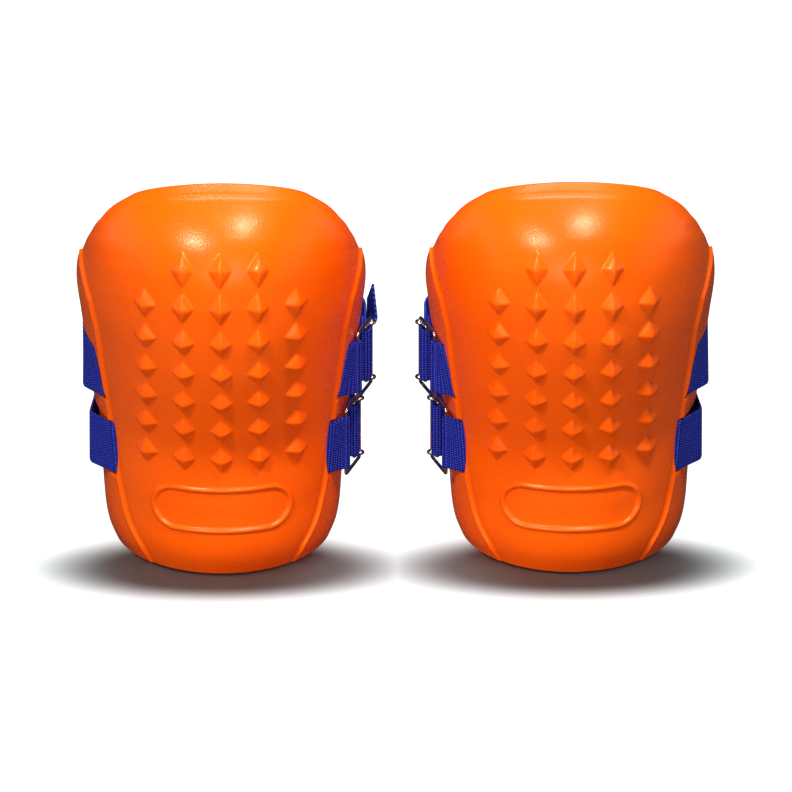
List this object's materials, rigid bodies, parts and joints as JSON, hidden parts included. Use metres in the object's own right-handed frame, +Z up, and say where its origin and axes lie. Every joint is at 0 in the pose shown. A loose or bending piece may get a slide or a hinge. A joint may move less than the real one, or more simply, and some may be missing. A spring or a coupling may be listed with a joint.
{
  "type": "knee pads",
  "caption": "Pair of moulded knee pads with a studded front and foam lining, worn on elastic straps that close with wire rings and hooks.",
  "frame": {"origin": "on the floor, at the middle of the pair's bounding box", "axes": "+X across the pair from the left pad to the right, -Y towards the studded fronts, +Z up"},
  "size_m": [0.3912, 0.1892, 0.263],
  "materials": {
    "moulded_shell": "satin moulded orange with a fine grain",
    "foam": "closed-cell foam, matt",
    "elastic_webbing": "ribbed royal blue elastic",
    "chromed_wire": "bright plated wire"
  },
  "bodies": {
    "pads": {"left_shell": "moulded_shell", "left_knee_cushion": "foam", "left_lower_strap": "elastic_webbing", "left_lower_ring_tab": "elastic_webbing", "left_upper_strap": "elastic_webbing", "left_upper_ring_tab": "elastic_webbing", "right_shell": "moulded_shell", "right_knee_cushion": "foam", "right_lower_strap": "elastic_webbing", "right_lower_ring_tab": "elastic_webbing", "right_upper_strap": "elastic_webbing", "right_upper_ring_tab": "elastic_webbing"},
    "left_lower_ring": {"left_lower_ring": "chromed_wire"},
    "left_lower_hook": {"left_lower_hook": "chromed_wire"},
    "left_upper_ring": {"left_upper_ring": "chromed_wire"},
    "left_upper_hook": {"left_upper_hook": "chromed_wire"},
    "right_lower_ring": {"right_lower_ring": "chromed_wire"},
    "right_lower_hook": {"right_lower_hook": "chromed_wire"},
    "right_upper_ring": {"right_upper_ring": "chromed_wire"},
    "right_upper_hook": {"right_upper_hook": "chromed_wire"}
  },
  "joints": [
    {"name": "left_lower_ring_swing", "type": "hinge", "parent": "pads", "child": "left_lower_ring", "pos_m": [-0.03084, -0.00222, 0.0695], "axis": [0, 0, -1], "range_deg": [-5, 20], "deforming": ["left_lower_strap"]},
    {"name": "left_lower_hook_pivot", "type": "hinge", "parent": "left_lower_ring", "child": "left_lower_hook", "pos_m": [-0.02244, 0.02365, 0.0695], "axis": [0, 0, -1], "range_deg": [-8, 8], "deforming": ["left_lower_strap"]},
    {"name": "left_upper_ring_swing", "type": "hinge", "parent": "pads", "child": "left_upper_ring", "pos_m": [-0.02355, -0.00222, 0.1205], "axis": [0, 0, -1], "range_deg": [-5, 20], "deforming": ["left_upper_strap"]},
    {"name": "left_upper_hook_pivot", "type": "hinge", "parent": "left_upper_ring", "child": "left_upper_hook", "pos_m": [-0.01514, 0.02365, 0.1205], "axis": [0, 0, -1], "range_deg": [-8, 8], "deforming": ["left_upper_strap"]},
    {"name": "right_lower_ring_swing", "type": "hinge", "parent": "pads", "child": "right_lower_ring", "pos_m": [0.03084, -0.00222, 0.0695], "axis": [0, 0, 1], "range_deg": [-5, 20], "deforming": ["right_lower_strap"]},
    {"name": "right_lower_hook_pivot", "type": "hinge", "parent": "right_lower_ring", "child": "right_lower_hook", "pos_m": [0.02244, 0.02365, 0.0695], "axis": [0, 0, 1], "range_deg": [-8, 8], "deforming": ["right_lower_strap"]},
    {"name": "right_upper_ring_swing", "type": "hinge", "parent": "pads", "child": "right_upper_ring", "pos_m": [0.02355, -0.00222, 0.1205], "axis": [0, 0, 1], "range_deg": [-5, 20], "deforming": ["right_upper_strap"]},
    {"name": "right_upper_hook_pivot", "type": "hinge", "parent": "right_upper_ring", "child": "right_upper_hook", "pos_m": [0.01514, 0.02365, 0.1205], "axis": [0, 0, 1], "range_deg": [-8, 8], "deforming": ["right_upper_strap"]}
  ]
}
